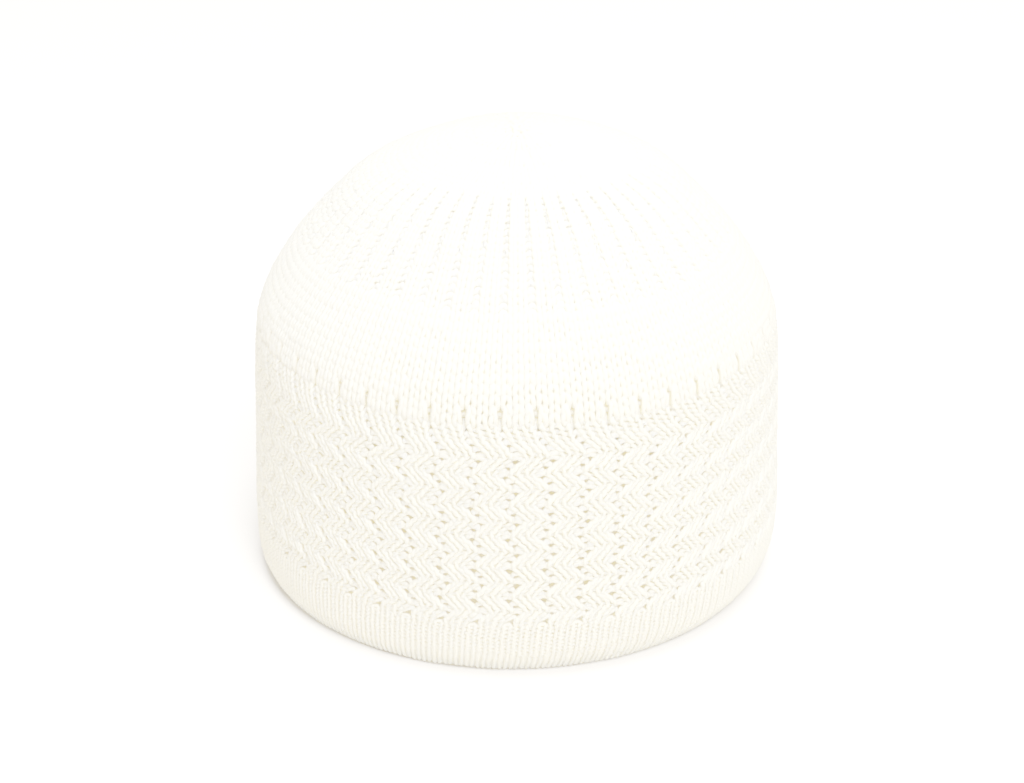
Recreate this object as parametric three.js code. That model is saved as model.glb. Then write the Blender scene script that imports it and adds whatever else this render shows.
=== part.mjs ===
// Knitted skull cap, standing on its rim: six hollow knitted sections of one wall of cloth
// Millimetres, +Z up, origin at the centre of the rim on the surface that the cap stands on
import * as THREE from 'three';

// Driving sizes
const KNIT_WALL = 2.6;
const HEM_WALL = 4.4;
const SECTION_GAP = 0.3;
const REST_RING_WIDTH = 2.8;
const FACETS_ROUND = 80;
const CURVE_DIVISIONS = 1200;
const ON_AXIS = 0.001;

// The outline of the cloth's outer face, from the rim to the middle of the crown
const OUTLINE = [
  { place: 'rim', height: 0, radius: 81.3 },
  { place: 'hem middle', height: 7.3, radius: 86.2 },
  { place: 'hem top', height: 20.5, radius: 87.0 },
  { place: 'wall low', height: 47, radius: 86.0 },
  { place: 'wall high', height: 73, radius: 84.8 },
  { place: 'above the eyelets', height: 90.5, radius: 81.9 },
  { place: 'shoulder', height: 106.5, radius: 73.0 },
  { place: 'crown low', height: 121, radius: 60.7 },
  { place: 'crown middle', height: 133, radius: 47.6 },
  { place: 'crown high', height: 141, radius: 29.5 },
  { place: 'round the gather', height: 144.8, radius: 13.0 },
  { place: 'centre', height: 146, radius: 0 },
];

// The knitted sections, measured along the outline from the rim
const SECTIONS = [
  { node: 'hem_band', from: 0, to: 21.8, wall: HEM_WALL, rows: 4, colour: 0xf6f3ea },
  { node: 'zigzag_band', from: 21.8, to: 85.5, wall: KNIT_WALL, rows: 4, colour: 0xf4f0e4 },
  { node: 'plain_band', from: 85.5, to: 119, wall: KNIT_WALL, rows: 4, colour: 0xf7f4ec },
  { node: 'ladder_crown', from: 119, to: 158, wall: KNIT_WALL, rows: 4, colour: 0xf5f2e8 },
  { node: 'crown_top', from: 158, to: 192, wall: KNIT_WALL, rows: 4, colour: 0xf8f5ee },
];

// The gathered last round: a button of yarn that stands a little proud of the crown round it
const GATHER_COLOUR = 0xf2eee2;
const GATHER_RISE = 0.8;
const GATHER_SHOULDER = { radiusShare: 0.55, riseShare: 0.75 };

// Hollows and bulges of the worn-in cloth: where, how wide, how deep (a bulge is below zero)
const DENTS = [
  { place: 'front left of the crown', azimuth: 250, height: 118, wide: 26, high: 16, depth: 1.2 },
  { place: 'back left of the crown', azimuth: 130, height: 134, wide: 30, high: 10, depth: 1.6 },
  { place: 'back right shoulder', azimuth: 40, height: 108, wide: 24, high: 18, depth: -1.0 },
  { place: 'right of the wall', azimuth: 335, height: 60, wide: 18, high: 26, depth: 0.9 },
  { place: 'left of the wall', azimuth: 205, height: 52, wide: 16, high: 24, depth: 0.8 },
];

// The rim sits a little to the left of the wall above it
const RIM_SHIFT = -1.6;
const RIM_SHIFT_TOP = 19;

// The outline as a smooth curve of (radius, height), carried past the centre so that the crown is level there
function outlineCurve() {
  const points = OUTLINE.map((row) => new THREE.Vector2(row.radius, row.height));
  const beside = OUTLINE[OUTLINE.length - 2];
  points.push(new THREE.Vector2(-beside.radius, beside.height));
  const curve = new THREE.SplineCurve(points);
  curve.arcLengthDivisions = CURVE_DIVISIONS;
  return curve;
}

const outline = outlineCurve();
const lengths = outline.getLengths();
const fullLength = lengths[lengths.length - 1];
const lengthToCentre = lengths[Math.round((lengths.length - 1) * (OUTLINE.length - 1) / OUTLINE.length)];

// A point of the outer face and the direction into the cloth, at a distance along the outline
function outlineAt(distance) {
  const share = Math.min(distance, lengthToCentre) / fullLength;
  const point = outline.getPointAt(share);
  const tangent = outline.getTangentAt(share);
  const inward = new THREE.Vector2(-tangent.y, tangent.x);
  return { point, inward };
}

// The closed profile of one section: up the outer face and down the inner one
function sectionProfile(section) {
  const isHem = section.from === 0;
  const start = isHem ? 0 : section.from + SECTION_GAP / 2;
  const end = section.to - SECTION_GAP / 2;
  const outer = [];
  const inner = [];
  for (let row = 0; row <= section.rows; row += 1) {
    const distance = THREE.MathUtils.lerp(start, end, row / section.rows);
    const { point, inward } = outlineAt(distance);
    outer.push(point);
    inner.unshift(point.clone().addScaledVector(inward, section.wall));
  }
  if (isHem) {
    // the folded edge is pressed flat where it stands
    inner.push(new THREE.Vector2(OUTLINE[0].radius - REST_RING_WIDTH, 0));
  }
  return [...outer, ...inner, outer[0].clone()];
}

// The plug of gathered stitches: a low dome over the hole that the crown's last round leaves
function gatherProfile() {
  const last = SECTIONS[SECTIONS.length - 1];
  const { point, inward } = outlineAt(last.to + SECTION_GAP / 2);
  const edge = point.clone().addScaledVector(inward, last.wall);
  const topHeight = OUTLINE[OUTLINE.length - 1].height + GATHER_RISE;
  const shoulder = new THREE.Vector2(
    point.x * GATHER_SHOULDER.radiusShare,
    THREE.MathUtils.lerp(point.y, topHeight, GATHER_SHOULDER.riseShare),
  );
  return [
    new THREE.Vector2(0, edge.y),
    edge,
    point,
    shoulder,
    new THREE.Vector2(0, topHeight),
  ];
}

// The sideways lean of the rim and the dents, worked on every point of a section
function settleCloth(geometry) {
  const vertices = geometry.getAttribute('position');
  for (let i = 0; i < vertices.count; i += 1) {
    const x = vertices.getX(i);
    const y = vertices.getY(i);
    const z = vertices.getZ(i);
    const radius = Math.hypot(x, y);
    if (radius < ON_AXIS) {
      continue;
    }
    const azimuth = THREE.MathUtils.radToDeg(Math.atan2(y, x));
    let sink = 0;
    for (const dent of DENTS) {
      const turn = THREE.MathUtils.euclideanModulo(azimuth - dent.azimuth + 180, 360) - 180;
      const across = turn / dent.wide;
      const along = (z - dent.height) / dent.high;
      sink += dent.depth * Math.exp(-across * across - along * along);
    }
    const lean = Math.max(1 - z / RIM_SHIFT_TOP, 0);
    const scale = (radius - sink) / radius;
    vertices.setXYZ(i, x * scale + RIM_SHIFT * lean * lean, y * scale, z);
  }
  vertices.needsUpdate = true;
}

// Knitted cotton: the same matt cloth on every section, a touch darker where it is open
function knitMaterial(colour) {
  return new THREE.MeshStandardMaterial({ color: colour, roughness: 0.92, metalness: 0 });
}

// A profile turned once round the upright axis, settled as cloth
function knittedRing(node, profile, colour) {
  const geometry = new THREE.LatheGeometry(profile, FACETS_ROUND);
  geometry.rotateX(Math.PI / 2);
  settleCloth(geometry);
  geometry.computeVertexNormals();
  const mesh = new THREE.Mesh(geometry, knitMaterial(colour));
  mesh.name = node;
  return mesh;
}

const cap = new THREE.Group();
cap.name = 'skull_cap';
for (const section of SECTIONS) {
  cap.add(knittedRing(section.node, sectionProfile(section), section.colour));
}
cap.add(knittedRing('crown_gather', gatherProfile(), GATHER_COLOUR));

export default cap;
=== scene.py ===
# %% [markdown]
# # A white knitted skull cap
# The cap is one tube of white cotton knitting. It starts with a hem that is folded double, goes on
# as an openwork wall in zigzags, then a ring of long eyelets, a plain band, a crown with thin
# ladders in it, and a smooth top that is drawn together at the centre.
# This lesson knits it in the computer: every course is one closed yarn that loops round the cap.

import math

import bpy
import numpy as np
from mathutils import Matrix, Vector


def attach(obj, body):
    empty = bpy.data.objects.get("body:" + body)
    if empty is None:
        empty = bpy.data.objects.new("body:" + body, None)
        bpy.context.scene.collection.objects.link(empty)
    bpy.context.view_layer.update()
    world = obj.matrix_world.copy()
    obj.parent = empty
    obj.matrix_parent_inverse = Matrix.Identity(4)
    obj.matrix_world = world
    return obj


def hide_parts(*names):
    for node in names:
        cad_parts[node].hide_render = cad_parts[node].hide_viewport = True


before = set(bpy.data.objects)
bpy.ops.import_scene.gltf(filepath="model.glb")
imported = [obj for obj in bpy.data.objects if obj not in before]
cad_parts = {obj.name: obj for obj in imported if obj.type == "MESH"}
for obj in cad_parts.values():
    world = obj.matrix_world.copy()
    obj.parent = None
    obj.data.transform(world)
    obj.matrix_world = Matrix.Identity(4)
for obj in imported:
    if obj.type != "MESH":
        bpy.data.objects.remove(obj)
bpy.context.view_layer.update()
MM = 0.001

# %% [markdown]
# ## The camera
# The photograph was taken from in front and above, from about 70 cm away. The camera stands at the
# angle that the rim, the ring of eyelets and the outline of the crown agree on. The cap stands a
# little to the right of the middle of the picture, which is a small sideways shift of the lens.

# %% Place the camera
PHOTO_WIDTH_PX = 1024
FOCAL_LENGTH_PX = 2130
CAP_AXIS_X_PX = 516.8
SENSOR_WIDTH_MM = 36.0
CAMERA_ELEVATION = math.radians(26.0)
CAMERA_DISTANCE = 0.700
CAMERA_AIM_HEIGHT = 0.0546

camera_data = bpy.data.cameras.new("camera")
camera_data.sensor_width = SENSOR_WIDTH_MM
camera_data.lens = SENSOR_WIDTH_MM * FOCAL_LENGTH_PX / PHOTO_WIDTH_PX
camera_data.shift_x = (PHOTO_WIDTH_PX / 2 - CAP_AXIS_X_PX) / PHOTO_WIDTH_PX
camera_data.clip_start = 0.01
camera_data.clip_end = 20.0
camera = bpy.data.objects.new("camera", camera_data)
bpy.context.scene.collection.objects.link(camera)
towards_camera = Vector((0, -math.cos(CAMERA_ELEVATION), math.sin(CAMERA_ELEVATION)))
camera.location = Vector((0, 0, CAMERA_AIM_HEIGHT)) + CAMERA_DISTANCE * towards_camera
camera.rotation_euler = towards_camera.to_track_quat("Z", "Y").to_euler()
bpy.context.scene.camera = camera
print("camera at", [round(v, 3) for v in camera.location], "lens", round(camera_data.lens, 1))

# %% [markdown]
# ## Shader maths as Python
# A material is a graph of nodes. This small class wraps a socket, so that an expression such as
# `1 - twist * 0.2` adds its Math nodes by itself. Every other node comes from `Shader.node`, which
# sets the node's own settings first and then the values or links of its sockets.

# %% A socket that understands arithmetic
class Value:
    """One output socket. Arithmetic on it adds Math nodes to the same material."""

    def __init__(self, shader, socket):
        self.shader = shader
        self.socket = socket

    def _math(self, operation, first, second):
        return self.shader.node("ShaderNodeMath", {"operation": operation}, {0: first, 1: second})

    def __add__(self, other):
        return self._math("ADD", self, other)

    def __radd__(self, other):
        return self._math("ADD", other, self)

    def __sub__(self, other):
        return self._math("SUBTRACT", self, other)

    def __rsub__(self, other):
        return self._math("SUBTRACT", other, self)

    def __mul__(self, other):
        return self._math("MULTIPLY", self, other)

    def __rmul__(self, other):
        return self._math("MULTIPLY", other, self)

    def __truediv__(self, other):
        return self._math("DIVIDE", self, other)

    def __rtruediv__(self, other):
        return self._math("DIVIDE", other, self)


class Shader:
    """A new node material, with one method that makes any node."""

    def __init__(self, name):
        self.material = bpy.data.materials.new(name)
        self.material.use_nodes = True
        self.tree = self.material.node_tree
        self.tree.nodes.clear()
        self.output = self.tree.nodes.new("ShaderNodeOutputMaterial")

    def node(self, kind, settings=None, inputs=None, out=0):
        """Adds a node: its settings first, then the values or links of its sockets."""
        made = self.tree.nodes.new(kind)
        for key, setting in (settings or {}).items():
            setattr(made, key, setting)
        for key, value in (inputs or {}).items():
            if isinstance(value, Value):
                self.tree.links.new(value.socket, made.inputs[key])
            else:
                made.inputs[key].default_value = value
        return Value(self, made.outputs[out])

    def finish(self, surface):
        """Links the finished surface to the output."""
        self.tree.links.new(surface.socket, self.output.inputs["Surface"])
        return self.material


# %% [markdown]
# ## The floor and the light
# The cap was photographed on a white sweep under broad soft light, so bright that floor and
# background run out into plain white. Only a thin dark line and a short soft shadow stay under the
# rim. The sweep is one large sheet here, of a warm white paper with a trace of fibre in it.

# %% Lay the floor
FLOOR_HALF_SIZE = 4.0
FLOOR_WHITE = (0.84, 0.775, 0.67, 1)
PAPER_ROUGHNESS = 0.9
PAPER_FIBRE_SCALE = 900.0
PAPER_BUMP = 0.03

paper = Shader("white_sweep")
paper_fibre = paper.node("ShaderNodeTexNoise", None, {"Scale": PAPER_FIBRE_SCALE, "Detail": 3.0})
paper_relief = paper.node("ShaderNodeBump", None, {"Strength": PAPER_BUMP, "Height": paper_fibre})
paper_face = {"Base Color": FLOOR_WHITE, "Roughness": PAPER_ROUGHNESS, "Normal": paper_relief}
paper_surface = paper.node("ShaderNodeBsdfPrincipled", None, paper_face)
floor_mesh = bpy.data.meshes.new("floor")
half = FLOOR_HALF_SIZE
floor_corners = [(-half, -half, 0), (half, -half, 0), (half, half, 0), (-half, half, 0)]
floor_mesh.from_pydata(floor_corners, [], [(0, 1, 2, 3)])
floor_mesh.materials.append(paper.finish(paper_surface))
floor = bpy.data.objects.new("floor", floor_mesh)
bpy.context.scene.collection.objects.link(floor)
print("sweep", 2 * FLOOR_HALF_SIZE, "m wide")

# %% [markdown]
# A large lamp overhead does most of the lighting: it washes out the crown and leaves the soft shadow
# under the rim. The sweep throws its light back at the wall. A smaller lamp in front, above and to
# the right makes the front a little lighter than the left side, and a faint even sky fills the rest.
# The light is a little cool, as the daylight tubes of such a set are.

# %% Light the sky and hang the lamps
SKY_STRENGTH = 0.09
LIGHT_COLOUR = (0.98, 1.015, 1.09)
CAP_MIDDLE = (0.0, 0.0, 0.07)

sky = bpy.data.worlds.new("white_sky")
sky.use_nodes = True
sky.node_tree.nodes["Background"].inputs["Color"].default_value = (*LIGHT_COLOUR, 1)
sky.node_tree.nodes["Background"].inputs["Strength"].default_value = SKY_STRENGTH
bpy.context.scene.world = sky


def softbox(name, place, aim, size, watts):
    """A round lamp with a soft edge to its shadows, turned towards the place that it lights."""
    data = bpy.data.lights.new(name, "AREA")
    data.shape = "DISK"
    data.size = size
    data.energy = watts
    data.color = LIGHT_COLOUR
    lamp = bpy.data.objects.new(name, data)
    lamp.location = place
    lamp.rotation_euler = (Vector(place) - Vector(aim)).to_track_quat("Z", "Y").to_euler()
    bpy.context.scene.collection.objects.link(lamp)
    print("lamp", name, watts, "W at", place)


softbox("overhead", place=(0.12, 0.15, 3.0), aim=CAP_MIDDLE, size=2.0, watts=96.0)
softbox("key", place=(0.33, -1.0, 1.3), aim=CAP_MIDDLE, size=0.7, watts=26.5)

# %% [markdown]
# The photograph is overexposed, so that the camera's response squeezes all of the cloth into its
# lightest tones. A view gamma does the same here: it lifts the gaps and leaves white where it is.

# %% Develop like the photograph
VIEW_GAMMA = 4.8
bpy.context.scene.view_settings.view_transform = "Standard"
bpy.context.scene.view_settings.gamma = VIEW_GAMMA
print("view gamma", VIEW_GAMMA)

# %% [markdown]
# ## The form of the cap
# Before any yarn, the cloth needs its form: a smooth outline from the rim to the centre of the
# crown, turned round the upright axis and then settled with the dents that soft cloth gets. The
# outline is the same kind of spline through the same points as in the CAD model, so that the
# knitting lies in the walls that the simulation uses. Only the rim is 1.3 mm wider, where the soft
# fold spreads on the surface. A place in the cloth is given by three numbers: the distance along
# the outline from the rim, the angle round the cap, and the depth below the face.

# %% The outline as a table of distances
OUTLINE = np.array([
    (0.0, 82.6), (7.3, 86.2), (20.5, 87.0), (47.0, 86.0), (73.0, 84.8), (90.5, 81.9),
    (106.5, 73.0), (121.0, 60.7), (133.0, 47.6), (141.0, 29.5), (144.8, 13.0), (146.0, 0.0),
])
STEPS_PER_SPAN = 120


def outline_table(height_and_radius):
    """A Catmull-Rom spline through the points: each span is a cubic whose end slopes are half the
    step between its neighbours. Gives distance, radius, height and the inward direction."""
    points = height_and_radius[:, ::-1]
    past_centre = points[-2] * (-1, 1)
    p0 = np.vstack([points[:1], points[:-2]])
    p1, p2 = points[:-1], points[1:]
    p3 = np.vstack([points[2:], past_centre])
    t = (np.arange(STEPS_PER_SPAN) / STEPS_PER_SPAN)[None, :, None]
    start, end = (p2 - p0)[:, None] / 2, (p3 - p1)[:, None] / 2
    a, b = p1[:, None], p2[:, None]
    bend = (2 * a - 2 * b + start + end) * t**3 + (3 * b - 3 * a - 2 * start - end) * t**2
    cubic = bend + start * t + a
    line = np.vstack([cubic.reshape(-1, 2), points[-1:]])
    steps = np.linalg.norm(np.diff(line, axis=0), axis=1)
    along = np.concatenate([[0], np.cumsum(steps)])
    slope = np.gradient(line, along, axis=0)
    slope /= np.linalg.norm(slope, axis=1, keepdims=True)
    return along, line[:, 0], line[:, 1], -slope[:, 1], slope[:, 0]


ALONG, RADIUS, HEIGHT, INWARD_R, INWARD_Z = outline_table(OUTLINE)
print("outline from rim to centre", round(ALONG[-1], 1), "mm")

# %% [markdown]
# The cap holds its round form by itself, but soft cloth sinks in a little here and there: low at the
# front left of the crown, behind on the left, and on both sides of the wall. Each dent is a bell
# curve over the azimuth and the height. The rim also stands a little to the left of the wall.

# %% Settle the cloth
# Azimuth in degrees, height, width in degrees, height of the dent, depth (a bulge is below zero)
DENTS = [
    (250, 118, 26, 16, 1.2),
    (130, 134, 30, 10, 1.6),
    (40, 108, 24, 18, -1.0),
    (335, 60, 18, 26, 0.9),
    (205, 52, 16, 24, 0.8),
]
DENT_FADE_RADIUS = 6.0
RIM_SHIFT = -1.6
RIM_SHIFT_TOP = 19.0
ON_AXIS = 0.001


def settle(x, y, z):
    """Moves points of the turned form: each dent lowers the radius by its depth times a bell curve,
    fading out at the centre of the crown, and the rim leans sideways by the square of its distance
    below the top of the lean."""
    radius = np.maximum(np.hypot(x, y), ON_AXIS)
    azimuth = np.degrees(np.arctan2(y, x))
    sink = np.zeros_like(radius)
    for place, height, wide, high, depth in DENTS:
        across = ((azimuth - place + 180) % 360 - 180) / wide
        up = (z - height) / high
        sink += depth * np.exp(-(across**2) - up**2)
    lean = np.maximum(1 - z / RIM_SHIFT_TOP, 0)
    scale = (radius - sink * np.minimum(radius / DENT_FADE_RADIUS, 1)) / radius
    return x * scale + RIM_SHIFT * lean**2, y * scale, z


def cloth(along, angle, depth):
    """A point of the single cloth: the outline's point at that distance, moved inward by the depth
    and turned round the axis. Angle 0 is the front of the cap and grows towards +X. In millimetres."""
    radius = np.interp(along, ALONG, RADIUS) + depth * np.interp(along, ALONG, INWARD_R)
    height = np.interp(along, ALONG, HEIGHT) + depth * np.interp(along, ALONG, INWARD_Z)
    x, y, z = settle(radius * np.sin(angle), -radius * np.cos(angle), height)
    return np.stack([x, y, z], axis=-1)


print("rim stands", np.round(cloth(0.0, 0.0, 0.0), 1), "mm from the origin at the front")

# %% [markdown]
# ## One stitch, and a whole course of them
# In plain knitting each stitch is a loop of yarn: it comes up from behind at one side, leans over
# at the front, turns back at the top behind the next loop, and goes down the other side. Along the
# row x = t/2pi + c sin 2t, up the cloth y = b cos t, and into the cloth z = e cos 2t give that
# loop for t from -pi to pi. A course is a chain of such loops round the cap. It could be modelled
# as one stitch in an array, but worked out as whole arrays the loops can follow the zigzag, the
# ladders and the narrowing crown, which is what makes this cap what it is.

# %% [markdown]
# The pattern repeats fifty times round the cap. The zigzag is not drawn stitch by stitch: the whole
# cloth of the wall travels sideways, right and left by turns, as the yarn goes up. The ladders lag
# a little behind the stitches beside them and swing out wider, and their rungs are drawn together
# where the ladder turns, so that hardly a hole is left there.

# %% Count the pattern and let it travel
UNITS = 50
FIRST_EYELET = math.radians(-3.32)
LADDER_PLACE = 5 / 6
PAIR_PLACE = 1 / 3

# How a loop swells at its sides, how far it reaches, and where it is sampled, in radians
LOOP_SWELL = 0.18
LOOP_REACH = 0.86
FINE_TURNS = np.array([-2.6, -1.75, -1.0, -0.35, 0.35, 1.0, 1.75, 2.6])
COARSE_TURNS = np.array([-2.5, -1.45, -0.5, 0.5, 1.45, 2.5])

# Distance along the outline and sideways travel of the pattern there, in millimetres
HEM_TOP = 21.8
HEM_TRAVEL = [(-30, 1.6), (0, 1.6), (14, 1.6), (16.7, 1.75), (20, 2.2), (21.5, 2.6)]
LOWEST_APEX = 24.63
APEX_PITCH = 5.07
APEXES = 11
LAST_APEX = LOWEST_APEX + APEX_PITCH * (APEXES - 1)
SWING_RIGHT = 5.95
SWING_LEFT = 1.25
TOP_TRAVEL = [(77.8, 4.4), (80, 2.0), (82.5, 1.05), (83.8, 0.5), (85.2, 0), (200, 0)]
DRIFT = [(20, 0), (31, 0.15), (41, 0.2), (51, 0), (61, -0.3), (72, -0.6), (80, 0)]

# The travel is tabulated at this step, and its corners and its slow mean reach this many steps
TRAVEL_STEP = 0.1
CORNER_STEPS = 6
SWING_STEPS = 101

# Distances in millimetres that set the ladders apart from the stitches beside them
RUNG_LEAN = 1.5
LADDER_LAG = 1.1
LADDER_SWING = 0.2
LEG_LAG = 0.35
RUNG_PINCH = 0.5
PINCH_ABOVE_APEX = -0.09


def looked_up(x, rows):
    """The value at x on straight lines between the rows (place, value) of a short list."""
    return np.interp(x, *np.array(rows).T)


def rounded(sharp, steps):
    """A running average whose weights are one bell curve that reaches that many steps each way."""
    kernel = np.hanning(2 * steps + 1)
    return np.convolve(np.pad(sharp, steps, "edge"), kernel / kernel.sum(), "valid")


def travel_table():
    """Sideways travel of the pattern: straight lines from apex to apex, rounded over a short stretch
    as the yarn rounds every corner, and the slow drift of the stretched cloth."""
    apexes = LOWEST_APEX + APEX_PITCH * np.arange(APEXES)
    swings = np.where(np.arange(APEXES) % 2 == 0, SWING_RIGHT, SWING_LEFT)
    knots = np.vstack([HEM_TRAVEL, np.stack([apexes, swings], axis=1), TOP_TRAVEL])
    fine = np.arange(-30, 200, TRAVEL_STEP)
    return fine, rounded(looked_up(fine, knots), CORNER_STEPS) + looked_up(fine, DRIFT)


TRAVEL_ALONG, TRAVEL = travel_table()
TRAVEL_SWING = TRAVEL - rounded(TRAVEL, SWING_STEPS)
RUNG_RISE = -RUNG_LEAN * np.gradient(TRAVEL, TRAVEL_ALONG)
print("pattern travels", round(TRAVEL.min(), 2), "to", round(TRAVEL.max(), 2), "mm to the right")

# %% [markdown]
# ## How the cloth was pulled
# Knitting is never quite even. On this cap the courses of the wall rise and fall by about a
# millimetre on the way round, and the front is spread a little wider near the top of the wall than
# at the hem. Both are slow changes, so a few places with a smooth line between them describe them.

# %% Pull the even pattern out of shape
# Degrees from the front and the rise of the courses there in millimetres
COURSE_WAVE = [
    (-180, 0), (-110, 0.3), (-47, 0.6), (-18, -0.8), (4, 0.3), (25, -0.5), (55, 1.2), (110, 0.3),
    (180, 0),
]
WAVE_FADE = [(6, 0), (24, 1), (110, 1), (150, 0)]
# Distance along the outline and how much wider the front is spread there than its share
SPREAD = [
    (14, -0.03), (20, -0.03), (31, -0.02), (41, -0.005), (51, 0.008), (61, 0.02), (72, 0.04),
    (86, 0.01), (150, 0),
]
WAVE_DEGREES = np.arange(-180.0, 181.0)
WAVE_STEPS = 12
WAVE_RISE = rounded(looked_up(WAVE_DEGREES, COURSE_WAVE), WAVE_STEPS)
print("courses rise by", round(WAVE_RISE.min(), 2), "to", round(WAVE_RISE.max(), 2), "mm")


def pulled(along, angle):
    """Moves a place of the even pattern to where the worn cap has it: the angle grows by the spread
    times its sine, and the distance by the wave, faded out towards the rim and the crown."""
    degrees = (np.degrees(angle) + 180) % 360 - 180
    rise = np.interp(degrees, WAVE_DEGREES, WAVE_RISE) * looked_up(along, WAVE_FADE)
    return along + rise, angle + looked_up(along, SPREAD) * np.sin(angle)


# %% [markdown]
# ## From a path to a yarn
# A yarn is a thin tube round its path. At each point of the path the tube needs two directions
# across it: one lies in the cloth, the other points out of it. A ring of a few points round each
# place, joined to the next ring, makes the skin, and because the course closes on itself the tube
# has no ends. The map of each yarn counts its length one way and its turn the other way, which the
# twist of the yarn follows later.

# %% Skin a set of closed yarns
YARN_FLATTEN = 0.94


def unit_rows(vectors):
    """Each row divided by its length."""
    return vectors / np.maximum(np.linalg.norm(vectors, axis=-1, keepdims=True), 1e-9)


def yarn_skin(place, inward, radius, sides):
    """Rings round a closed path. Across the path are s = tangent x inward and u = s x tangent, and
    ring point k stands at radius (cos a s + 0.94 sin a u) with a = 2 pi k / sides."""
    tangent = unit_rows(np.roll(place, -1, axis=0) - np.roll(place, 1, axis=0))
    side = unit_rows(np.cross(tangent, inward))
    out = np.cross(side, tangent)
    a = 2 * np.pi * np.arange(sides) / sides
    across, outward = np.cos(a)[None, :, None], YARN_FLATTEN * np.sin(a)[None, :, None]
    ring = across * side[:, None] + outward * out[:, None]
    return place[:, None] + radius[:, None, None] * ring


def yarn_mesh(name, yarns, sides):
    """One mesh from several closed yarns, each a tuple of path, inward direction and radius."""
    corners, faces, maps, first = [], [], [], 0
    for place, inward, radius in yarns:
        count = len(place)
        corners.append(yarn_skin(place, inward, radius, sides).reshape(-1, 3))
        i = np.arange(count)[:, None]
        k = np.arange(sides)[None, :]
        next_i, next_k = (i + 1) % count, (k + 1) % sides
        ring, next_ring = i * sides, next_i * sides
        quads = np.stack([ring + k, next_ring + k, next_ring + next_k, ring + next_k], axis=-1)
        faces.append(first + quads.reshape(-1, 4))
        steps = np.linalg.norm(np.roll(place, -1, axis=0) - place, axis=1)
        length = np.concatenate([[0], np.cumsum(steps)])
        u0, u1 = length[:-1][:, None] + 0 * k, length[1:][:, None] + 0 * k
        v0, v1 = k / sides + 0 * i, (k + 1) / sides + 0 * i
        map_corners = [np.stack(uv, -1) for uv in ((u0, v0), (u1, v0), (u1, v1), (u0, v1))]
        maps.append(np.stack(map_corners, axis=2).reshape(-1, 2))
        first += count * sides
    corners, faces, maps = np.vstack(corners), np.vstack(faces), np.vstack(maps)
    mesh = bpy.data.meshes.new(name)
    mesh.vertices.add(len(corners))
    mesh.vertices.foreach_set("co", (corners * MM).astype(np.float32).ravel())
    mesh.loops.add(faces.size)
    mesh.loops.foreach_set("vertex_index", faces.astype(np.int32).ravel())
    mesh.polygons.add(len(faces))
    mesh.polygons.foreach_set("loop_start", np.arange(0, faces.size, 4, dtype=np.int32))
    mesh.update(calc_edges=True)
    mesh.polygons.foreach_set("use_smooth", np.ones(len(faces), dtype=bool))
    layer = mesh.uv_layers.new(name="yarn")
    layer.uv.foreach_set("vector", maps.astype(np.float32).ravel())
    mesh.validate()
    return mesh


def add_piece(name, mesh, material, slot, *nodes):
    """Puts a finished mesh into the frame: it rides on the body and stands for its CAD nodes."""
    mesh.materials.append(material)
    piece = bpy.data.objects.new(name, mesh)
    bpy.context.scene.collection.objects.link(piece)
    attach(piece, "root")
    if nodes:
        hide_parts(*nodes)
    print(name, len(mesh.polygons) * 2, "triangles")
    return piece


# %% [markdown]
# ## Laying out a course
# Every course is described per pattern unit, which is three stitches wide in plain knitting. A
# part of the course is a list of stitches with their centre and width as shares of the unit, and
# between two of them the yarn may run straight across as a float, which leaves a ladder.

# %% Lay the loops of one course
rng = np.random.default_rng(7)

# Every loop strays a little, and every point, the depth and the thickness by a share of that
POINT_SHARE = 0.6
DEPTH_SHARE = 0.6
GIRTH_SHARE = 0.8
SMALLEST_RADIUS = 4.0
DEEPER = 0.2


def loop_part(centre, width, turns=FINE_TURNS, reach=LOOP_REACH, squeeze=0.02, beside=None, fill=0.0):
    """One loop as columns x, y, z, thickness, lean, lag: x in units, y in courses, z from -1 at the
    front to 1 at the back, thickness as a share of the yarn, which grows by the fill at head and
    feet where the loops interlock. A leg beside a ladder, on the loop's left or right, leans with
    the rung that leaves from its foot and lags like the ladder."""
    swell = LOOP_SWELL * np.sin(2 * turns) - squeeze * np.sin(turns)
    x = centre + width * (turns / (2 * np.pi) + swell)
    side = {"left": -1, "right": 1, None: 0}[beside]
    near = LEG_LAG * np.clip(side * turns, 0, 1)
    foot = np.clip(side * turns / (np.pi / 2) - 1, 0, 1)
    thick = 1 + fill * np.cos(turns) ** 2
    y, z = reach * np.cos(turns), np.cos(2 * turns)
    return np.stack([x, y, z, thick, -0.5 * side * foot, near], axis=1)


def rung_part(start, end, level=-0.68, arch=0.0, depth=0.3, thickness=0.56):
    """The yarn that runs over a dropped stitch, at one level or arched up by a share of a course."""
    share = np.array([0.2, 0.5, 0.8])
    level = level + arch * 4 * share * (1 - share)
    same = np.ones(3)
    x = start + (end - start) * share
    return np.stack([x, level, depth * same, thickness * same, share - 0.5, same], axis=1)


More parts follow.
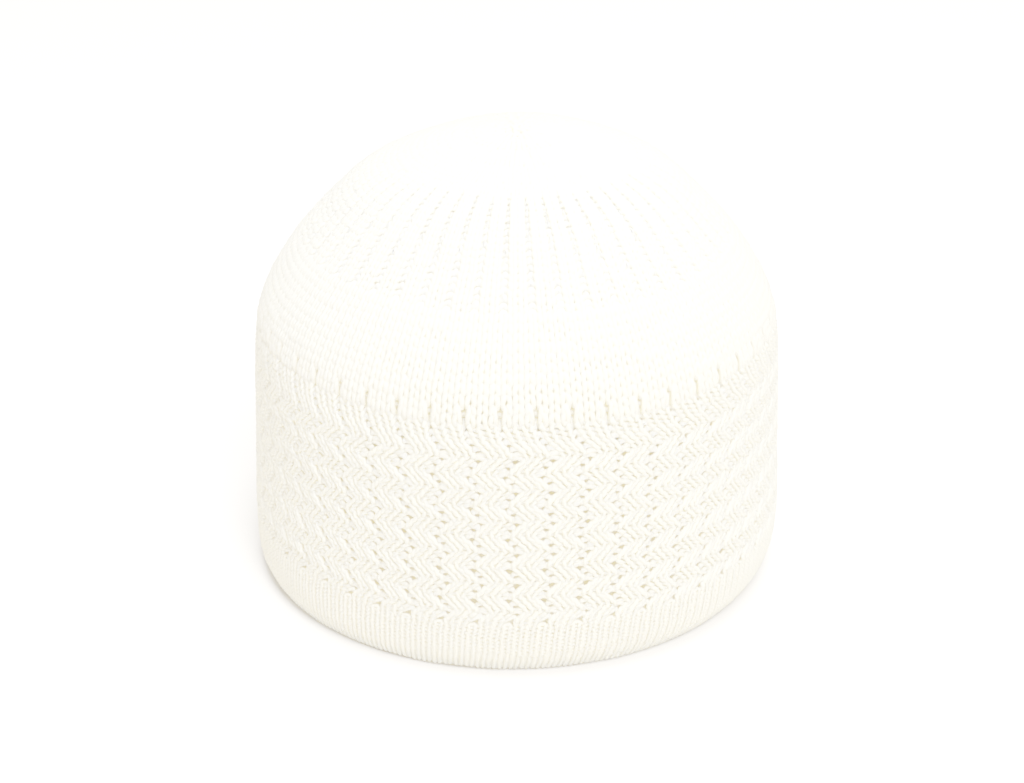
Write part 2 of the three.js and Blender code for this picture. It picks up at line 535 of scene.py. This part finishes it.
def lay_course(parts, along, pitch, yarn, half_depth, middle, sheet=cloth, units=UNITS, unrest=0.07):
    """The closed path of one course: its parts repeated in every unit, each point shifted sideways
    by the pattern's travel at its own height, with a little unrest so that no two loops are alike."""
    unit = np.vstack(parts)
    x = (unit[:, 0] + np.arange(units)[:, None]).ravel()
    y, z, thick, lean, lag = np.tile(unit[:, 1:].T, units)
    stray = rng.normal(0, unrest, (3, units, 1))
    stray = stray + rng.normal(0, POINT_SHARE * unrest, (3, units, len(unit)))
    stray = stray.reshape(3, -1)
    high = along + pitch * y + stray[0]
    past_apex = 2 * np.pi * (high - LOWEST_APEX - PINCH_ABOVE_APEX) / APEX_PITCH
    high = high + lean * np.interp(high, TRAVEL_ALONG, RUNG_RISE)
    high = high - RUNG_PINCH * (lag == 1) * (high < LAST_APEX) * np.sin(past_apex)
    turn_radius = np.interp(np.clip(high, 0, ALONG[-1]), ALONG, RADIUS)
    turn_radius = np.maximum(turn_radius, SMALLEST_RADIUS)
    lagging = high + LADDER_LAG * lag
    travel = np.interp(lagging, TRAVEL_ALONG, TRAVEL) + stray[1]
    travel = travel + LADDER_SWING * lag * np.interp(lagging, TRAVEL_ALONG, TRAVEL_SWING)
    angle = FIRST_EYELET + (2 * np.pi / units) * (x - LADDER_PLACE) + travel / turn_radius
    high, angle = pulled(high, angle)
    depth = middle + half_depth * z + DEPTH_SHARE * stray[2]
    place = sheet(high, angle, depth)
    inward = unit_rows(sheet(high, angle, depth + DEEPER) - place)
    return place, inward, yarn * thick * (1 + GIRTH_SHARE * stray[0])


# %% [markdown]
# ## The openwork wall
# Two stitches are knitted and the third is dropped, so the yarn floats across its place and a
# ladder opens. The ladders lean three courses to the right and three to the left, which makes the
# zigzags. Near the top the stitches get wider again and close the ladders below the eyelets. The
# wall is made in two halves, so that neither mesh gets too heavy.

# %% Knit the zigzag wall
ZIGZAG_FROM = 21.8
ZIGZAG_TO = 84.7
ZIGZAG_COURSES = 37
ZIGZAG_PITCH = (ZIGZAG_TO - ZIGZAG_FROM) / ZIGZAG_COURSES
ZIGZAG_STITCH = [(77, 0.4), (79.5, 0.44), (81.5, 0.47), (84, 0.485)]
ZIGZAG_RUNG = [(22.7, -0.4), (24.3, -0.68), (79, -0.68), (82, -0.1), (83.8, 1.2)]
ZIGZAG_RUNG_THICKNESS = [(24, 1.08), (45, 1.2), (70, 1.42), (82.2, 1.2), (83.8, 1.5)]
ZIGZAG_RUNG_DEPTH = [(82.2, 0.3), (83.8, 3.6)]
ZIGZAG_YARN = [(74, 0.68), (80, 0.75)]
ZIGZAG_HALF_DEPTH = 0.6
KNIT_MIDDLE = 1.3
YARN_SIDES = 5


def open_course(along, pitch, stitch, yarn, half_depth, middle, fill=0.15, **rung_form):
    """A course of the openwork: two stitches side by side, then a rung over the dropped one."""
    form = {"squeeze": 0.04, "fill": fill}
    left = loop_part(PAIR_PLACE - stitch / 2, stitch, beside="left", **form)
    right = loop_part(PAIR_PLACE + stitch / 2, stitch, beside="right", **form)
    rung = rung_part(PAIR_PLACE + stitch, PAIR_PLACE + 1 - stitch, **rung_form)
    return lay_course([left, right, rung], along, pitch, yarn, half_depth, middle)


def zigzag_course(along):
    """A course of the wall, whose ladders start narrow and filled below the eyelets."""
    stitch = looked_up(along, ZIGZAG_STITCH)
    yarn = looked_up(along, ZIGZAG_YARN)
    rung_form = {
        "level": looked_up(along, ZIGZAG_RUNG),
        "thickness": looked_up(along, ZIGZAG_RUNG_THICKNESS),
        "depth": looked_up(along, ZIGZAG_RUNG_DEPTH),
    }
    return open_course(along, ZIGZAG_PITCH, stitch, yarn, ZIGZAG_HALF_DEPTH, KNIT_MIDDLE, **rung_form)


zigzag_yarns = [zigzag_course(ZIGZAG_FROM + (i + 0.5) * ZIGZAG_PITCH) for i in range(ZIGZAG_COURSES)]
low_courses = ZIGZAG_COURSES // 2
zigzag_low = yarn_mesh("zigzag_wall_low", zigzag_yarns[:low_courses], YARN_SIDES)
zigzag_high = yarn_mesh("zigzag_wall_high", zigzag_yarns[low_courses:], YARN_SIDES)
print(ZIGZAG_COURSES, "courses,", round(ZIGZAG_PITCH, 2), "mm apart")

# %% [markdown]
# ## Cotton yarn
# The yarn is matt white cotton of two plies, brightened so that its face is a touch cool. Light goes
# through the loose fibres and comes out on the other side warmer, from yarn to yarn, which is why
# the gaps glow in a warm tone instead of going black. Half of the surface lets light through. On top
# of that the yarn has a faint painted glow, an orange emission that stands in for the many passes of
# light that a render has to cut short. Close to the floor the painted glow fades out over the lowest
# millimetres, which paints shade along the rim where little light would be passed on. The plies
# are ridges that wind round the yarn, drawn by its own map.

# %% Mix the cotton
PLY_LAY_MM = 4.2
PLY_RELIEF = 0.35
FIBRES_ROUND = 9.0
FIBRES_ALONG = 0.9
FIBRE_RELIEF = 0.9
RELIEF_STRENGTH = 0.35
RELIEF_DEPTH = 0.0003
FIBRE_SHADE = 0.10
PATCH_SCALE = 45.0
PATCH_SHADE = 0.05
COTTON_ROUGHNESS = 0.92
SHEEN_WEIGHT = 0.15
THROUGH_SHARE = 0.52
# The painted glow: an emission that stands in for light passed on from yarn to yarn
PAINTED_GLOW_STRENGTH = 0.105
PAINTED_GLOW_COLOUR = (1.0, 0.71, 0.26)
PAINTED_GLOW_FULL_HEIGHT = 0.006
# The texture coordinate node's fourth output is the piece's own place
OBJECT_OUTPUT = 3


def cotton(name, colour, through_colour):
    """Matt cotton yarn with a painted glow. The plies are a wave of twice the turn round the yarn plus
    the length over the lay, and the fibres are a noise that is long along the yarn and short across
    it. The painted glow is an emission that stands in for light passed on from yarn to yarn; it grows
    in a straight line from the floor up to its full height, which paints shade close to the floor."""
    shader = Shader(name)
    yarn_map = shader.node("ShaderNodeUVMap", {"uv_map": "yarn"})
    along = shader.node("ShaderNodeSeparateXYZ", None, {0: yarn_map}, out=0)
    round_share = shader.node("ShaderNodeSeparateXYZ", None, {0: yarn_map}, out=1)
    wound = (along / PLY_LAY_MM + round_share) * (4 * math.pi)
    ply = shader.node("ShaderNodeMath", {"operation": "COSINE"}, {0: wound})
    lie = (round_share + along / PLY_LAY_MM) * FIBRES_ROUND
    fibre_place = shader.node("ShaderNodeCombineXYZ", None, {0: along * FIBRES_ALONG, 1: lie})
    fibre_noise = {"Vector": fibre_place, "Scale": 1.0, "Detail": 4.0}
    fibre = shader.node("ShaderNodeTexNoise", None, fibre_noise)
    place = shader.node("ShaderNodeTexCoord", out=OBJECT_OUTPUT)
    patch_noise = {"Vector": place, "Scale": PATCH_SCALE, "Detail": 3.0}
    patch = shader.node("ShaderNodeTexNoise", None, patch_noise)
    height = ply * PLY_RELIEF + fibre * FIBRE_RELIEF
    bump = {"Strength": RELIEF_STRENGTH, "Distance": RELIEF_DEPTH, "Height": height}
    relief = shader.node("ShaderNodeBump", None, bump)
    shade = 1.0 + (fibre - 0.5) * FIBRE_SHADE + (patch - 0.5) * PATCH_SHADE
    # Painted glow: an orange emission for light passed on from yarn to yarn, faded out near the floor
    # as painted shade along the rim
    above_floor = shader.node("ShaderNodeSeparateXYZ", None, {0: place}, out=2)
    fade = {0: above_floor, 1: 0.0, 2: PAINTED_GLOW_FULL_HEIGHT, 3: 0.0, 4: 1.0}
    painted_glow_share = shader.node("ShaderNodeMapRange", {"clamp": True}, fade)
    warm = shader.node("ShaderNodeVectorMath", {"operation": "SCALE"}, {0: PAINTED_GLOW_COLOUR, 3: painted_glow_share})
    tinted = shader.node("ShaderNodeVectorMath", {"operation": "SCALE"}, {0: colour, 3: shade})
    matt = shader.node(
        "ShaderNodeBsdfPrincipled",
        None,
        {
            "Base Color": tinted,
            "Roughness": COTTON_ROUGHNESS,
            "Sheen Weight": SHEEN_WEIGHT,
            "Sheen Roughness": 0.5,
            "Emission Color": warm,
            "Emission Strength": PAINTED_GLOW_STRENGTH,
            "Normal": relief,
        },
    )
    soft = {"Color": through_colour, "Normal": relief}
    through = shader.node("ShaderNodeBsdfTranslucent", None, soft)
    surface = shader.node("ShaderNodeMixShader", None, {0: THROUGH_SHARE, 1: matt, 2: through})
    return shader.finish(surface)


white_cotton = cotton("white_cotton", (0.92, 0.97, 0.97), (0.98, 0.885, 0.45, 1))

# %% [markdown]
# The whole cap is of one yarn, so every piece gets the same cotton. Each piece rides on the cap's
# one body and stands in place of the plain wall that the CAD model has there.

# %% Put the wall in place
add_piece("zigzag_wall_low", zigzag_low, white_cotton, "openwork_cotton", "zigzag_band")
add_piece("zigzag_wall_high", zigzag_high, white_cotton, "openwork_cotton", "zigzag_band")

# %% [markdown]
# ## The plain band with its ring of eyelets
# Above the zigzags every place is knitted again. Where a ladder ends, one loop is drawn up over two
# courses and stands open: the long eyelets. The yarn of those courses floats across behind it, so
# that a look into an eyelet meets shaded yarn. The plain band above is as close as the yarn allows,
# with only a dot of shade in the middle of each stitch.

# %% Knit the plain band
PLAIN_PITCH = 2.96
PLAIN_FIRST = 92.5
PLAIN_COURSES = 9
PLAIN_YARN = 0.9
PLAIN_HALF_DEPTH = 0.54
PLAIN_FILL = 0.25
THIRDS = (PAIR_PLACE - 1 / 6, PAIR_PLACE + 1 / 6, LADDER_PLACE)


def plain_course(along, pitch, yarn, half_depth, middle, sheet=cloth, **loop_form):
    """A course of plain knitting: three equal stitches in every unit."""
    parts = [loop_part(centre, 1 / 3, **loop_form) for centre in THIRDS]
    return lay_course(parts, along, pitch, yarn, half_depth, middle, sheet=sheet)


# Along the outline: where the two courses of the eyelets lie, and how far apart
EYELET_LOWER, EYELET_LOWER_PITCH = 86.7, 2.75
EYELET_UPPER, EYELET_UPPER_PITCH = 89.5, 2.8
EYELET_YARN = 0.88
EYELET_HALF_DEPTH = 0.56
EYELET_FILL = 0.3
TALL_LOOP_FOOT = -0.6
TALL_LOOP_RISE = 2.35
# Share of the tall loop's rise and half of the eyelet's width there as a share of the unit
EYELET_HALF_WIDTH = [(0.07, 0.095), (0.41, 0.13), (0.77, 0.152), (0.97, 0.07)]


def eyelet_courses():
    """The two courses at the eyelets. In the lower one every third loop is drawn up tall and open, and
    in the upper one the yarn passes behind the top of that tall loop."""
    left = loop_part(THIRDS[0], 1 / 3, fill=EYELET_FILL)
    right = loop_part(THIRDS[1], 1 / 3, fill=EYELET_FILL)
    tall = loop_part(THIRDS[2], 1 / 3)
    rise = (tall[:, 1] + LOOP_REACH) / (2 * LOOP_REACH)
    tall[:, 1] = TALL_LOOP_FOOT + rise * TALL_LOOP_RISE
    tall[:, 0] = THIRDS[2] + np.sign(FINE_TURNS) * looked_up(rise, EYELET_HALF_WIDTH)
    behind = rung_part(PAIR_PLACE + 1 / 3, PAIR_PLACE + 2 / 3, level=-0.5, depth=3.6, thickness=1.4)
    cloth_form = (EYELET_YARN, EYELET_HALF_DEPTH, KNIT_MIDDLE)
    lower = lay_course([left, right, tall], EYELET_LOWER, EYELET_LOWER_PITCH, *cloth_form)
    upper = lay_course([left, right, behind], EYELET_UPPER, EYELET_UPPER_PITCH, *cloth_form)
    return [lower, upper]


def plain_band_course(i):
    """A course of the band, counted from the eyelets up."""
    along = PLAIN_FIRST + i * PLAIN_PITCH
    cloth_form = (PLAIN_YARN, PLAIN_HALF_DEPTH, KNIT_MIDDLE)
    return plain_course(along, PLAIN_PITCH, *cloth_form, fill=PLAIN_FILL)


plain_yarns = eyelet_courses() + [plain_band_course(i) for i in range(PLAIN_COURSES)]
plain_band = yarn_mesh("plain_band_knit", plain_yarns, YARN_SIDES)
add_piece("plain_band_knit", plain_band, white_cotton, "plain_cotton", "plain_band")

# %% [markdown]
# ## The crown with its ladders
# On the crown every third stitch is dropped again, in straight lines that run up to the top. The
# stitches are close, and the rungs are arched like small roofs and lie a little deeper, so that each
# ladder is a line of faint pointed shadows. The crown narrows, and stitches, rungs and yarn with it.

# %% Knit the ladder crown
LADDER_FROM = 117.7
LADDER_TO = 158.0
LADDER_COURSES = 17
LADDER_PITCH = (LADDER_TO - LADDER_FROM) / LADDER_COURSES
LADDER_WIDTH = [(118, 2.2), (123, 1.9), (128, 1.9), (145, 1.5), (152, 1.1), (158, 0.5)]
LADDER_YARN = 0.87
LADDER_YARN_SHARE = 0.34
LADDER_HALF_DEPTH = 0.54
LADDER_RUNG = {"arch": 0.4, "depth": 1.5, "thickness": 1.85}


def ladder_course(along):
    """A course of the crown: as the crown narrows, so do the stitches, the ladder and the yarn. The
    rungs are arched, since the stitch that was dropped there left its yarn slack."""
    unit_width = 2 * math.pi * np.interp(along, ALONG, RADIUS) / UNITS
    stitch = (1 - looked_up(along, LADDER_WIDTH) / unit_width) / 2
    yarn = min(LADDER_YARN, LADDER_YARN_SHARE * stitch * unit_width)
    cloth_form = (stitch, yarn, LADDER_HALF_DEPTH, KNIT_MIDDLE)
    return open_course(along, LADDER_PITCH, *cloth_form, fill=0.3, **LADDER_RUNG)


ladder_yarns = [ladder_course(LADDER_FROM + (i + 0.5) * LADDER_PITCH) for i in range(LADDER_COURSES)]
ladder_crown = yarn_mesh("ladder_crown_knit", ladder_yarns, YARN_SIDES)
add_piece("ladder_crown_knit", ladder_crown, white_cotton, "openwork_cotton", "ladder_crown")

# %% [markdown]
# ## The top of the crown
# The last 34 mm are plain and smooth. As the rings get smaller the number of stitches drops in
# steps, from a hundred to a dozen, so that no stitch gets much narrower than two millimetres.

# %% Knit the crown top
TOP_FROM = 158.0
TOP_TO = 192.0
TOP_COURSES = 15
TOP_PITCH = (TOP_TO - TOP_FROM) / TOP_COURSES
TOP_STITCHES = (100, 75, 50, 25, 12)
NARROWEST_STITCH = 2.1
TOP_YARN = 0.9
TOP_YARN_SHARE = 0.35
TOP_HALF_DEPTH = 0.5


def top_course(along):
    """A course of the narrowing top: fewer stitches as the ring gets smaller."""
    girth = 2 * math.pi * np.interp(along, ALONG, RADIUS)
    wide_enough = [n for n in TOP_STITCHES if girth / n > NARROWEST_STITCH]
    count = wide_enough[0] if wide_enough else TOP_STITCHES[-1]
    yarn = min(TOP_YARN, TOP_YARN_SHARE * girth / count)
    loop = loop_part(0.5, 1.0, fill=0.3)
    return lay_course([loop], along, TOP_PITCH, yarn, TOP_HALF_DEPTH, KNIT_MIDDLE, units=count)


top_yarns = [top_course(TOP_FROM + (i + 0.5) * TOP_PITCH) for i in range(TOP_COURSES)]
crown_top = yarn_mesh("crown_top_knit", top_yarns, YARN_SIDES)
add_piece("crown_top_knit", crown_top, white_cotton, "plain_cotton", "crown_top")

# %% [markdown]
# ## The gathered centre
# The last round is drawn together with its own yarn end. What shows is a rosette of slack loops
# that run in to the centre, with the end wound round on top and pulled tight.

# %% Draw the last round together
GATHER_POINTS = 90
GATHER_SIDES = 6
GATHER_DEPTH = 0.9
GATHER_DIP = 0.4
# Petals, inner and outer radius, lift above the cloth and yarn, in millimetres
GATHER_RINGS = [
    (9, 1.5, 4.6, 0.0, 0.85),
    (2, 1.5, 1.9, 0.6, 0.8),
    (3, 0.5, 0.8, 0.8, 0.65),
]


def gathered_ring(petals, inner, outer, lift, yarn):
    """A closed yarn round the centre: its distance from there swings between an inner and an outer
    radius once a petal, and it dips under the cloth on the way in."""
    turn = 2 * math.pi * np.arange(GATHER_POINTS) / GATHER_POINTS
    swing = np.cos(petals * turn)
    reach = (outer + inner) / 2 + (outer - inner) / 2 * swing
    depth = GATHER_DEPTH - lift + GATHER_DIP * np.sin(petals * turn)
    along = ALONG[-1] - reach
    place = cloth(along, turn, depth)
    inward = unit_rows(cloth(along, turn, depth + DEEPER) - place)
    return place, inward, np.full(GATHER_POINTS, yarn)


gather_yarns = [gathered_ring(*ring) for ring in GATHER_RINGS]
gather_mesh = yarn_mesh("gathered_centre", gather_yarns, GATHER_SIDES)
add_piece("gathered_centre", gather_mesh, white_cotton, "gather_cotton", "crown_gather")

# %% [markdown]
# ## The hem
# The hem is finer knitting, laid double: it comes down from the wall, goes round the rim in a narrow
# fold, and climbs again on the inside. Both layers are one sheet here, so the rim is closed. The
# inner layer shows only from below and is knitted a little coarser with fewer points in each loop.

# %% Fold the hem
HEM_LAYER = 2.2
FOLD_ALONG = 1.3
FOLD_LENGTH = 5.0


def folded(along, angle, depth):
    """The double cloth of the hem. Above the fold it is the cap's own face, at the fold it goes round
    a half circle of the layer's thickness, and past it it climbs again on the inside, facing inward."""
    turn = np.clip((FOLD_ALONG - along) / FOLD_LENGTH, 0, 1) * np.pi
    past = np.maximum(FOLD_ALONG - FOLD_LENGTH - along, 0)
    reach = HEM_LAYER - depth
    straight = np.maximum(along, FOLD_ALONG)
    return cloth(straight + past - reach * np.sin(turn), angle, HEM_LAYER - reach * np.cos(turn))


print("the hem is folded", FOLD_ALONG, "mm above the rim's own edge")

# %% [markdown]
# The face of the hem has stitches that are wider than they are tall, which reads as fine ribs with
# rows of dots between them. Its two top courses still have the ladders of the wall, and close them.

# %% Knit the hem's two layers
HEM_PITCH = 1.38
HEM_COURSES = 16
HEM_YARN = 0.58
HEM_HALF_DEPTH = 0.4
HEM_MIDDLE = 1.1
CLOSING_STITCH = 0.395
CLOSING_YARN = 0.7
CLOSING_LEVELS = (0.6, -0.6)
CLOSING_THICKNESS = 0.6
LINING_PITCH = 1.8
LINING_YARN = 0.72
LINING_SIDES = 4
LINING_FROM = HEM_TOP - HEM_COURSES * HEM_PITCH
LINING_COURSES = 12


def closing_course(i):
    """A course of the hem that still has the ladders in it, counted from the top down."""
    along = HEM_TOP - (i + 0.5) * HEM_PITCH
    cloth_form = (CLOSING_STITCH, CLOSING_YARN, HEM_HALF_DEPTH, HEM_MIDDLE)
    rung_form = {"level": CLOSING_LEVELS[i], "thickness": CLOSING_THICKNESS}
    return open_course(along, HEM_PITCH, *cloth_form, **rung_form)


def hem_course(i):
    """A plain course of the hem's face, counted from the top down."""
    along = HEM_TOP - (i + 0.5) * HEM_PITCH
    cloth_form = (HEM_YARN, HEM_HALF_DEPTH, HEM_MIDDLE)
    return plain_course(along, HEM_PITCH, *cloth_form, sheet=folded, squeeze=0.0)


def lining_course(i):
    """A course of the turned-in layer, counted from the rim up."""
    along = LINING_FROM - (i + 0.5) * LINING_PITCH
    cloth_form = (LINING_YARN, HEM_HALF_DEPTH, HEM_MIDDLE)
    return plain_course(along, LINING_PITCH, *cloth_form, sheet=folded, turns=COARSE_TURNS)


hem_yarns = [closing_course(i) for i in range(len(CLOSING_LEVELS))]
hem_yarns += [hem_course(i) for i in range(len(CLOSING_LEVELS), HEM_COURSES)]
hem_outside = yarn_mesh("hem_outside", hem_yarns, YARN_SIDES)
add_piece("hem_outside", hem_outside, white_cotton, "hem_cotton", "hem_band")

lining_yarns = [lining_course(i) for i in range(LINING_COURSES)]
hem_turned_in = yarn_mesh("hem_turned_in", lining_yarns, LINING_SIDES)
add_piece("hem_turned_in", hem_turned_in, white_cotton, "hem_cotton", "hem_band")
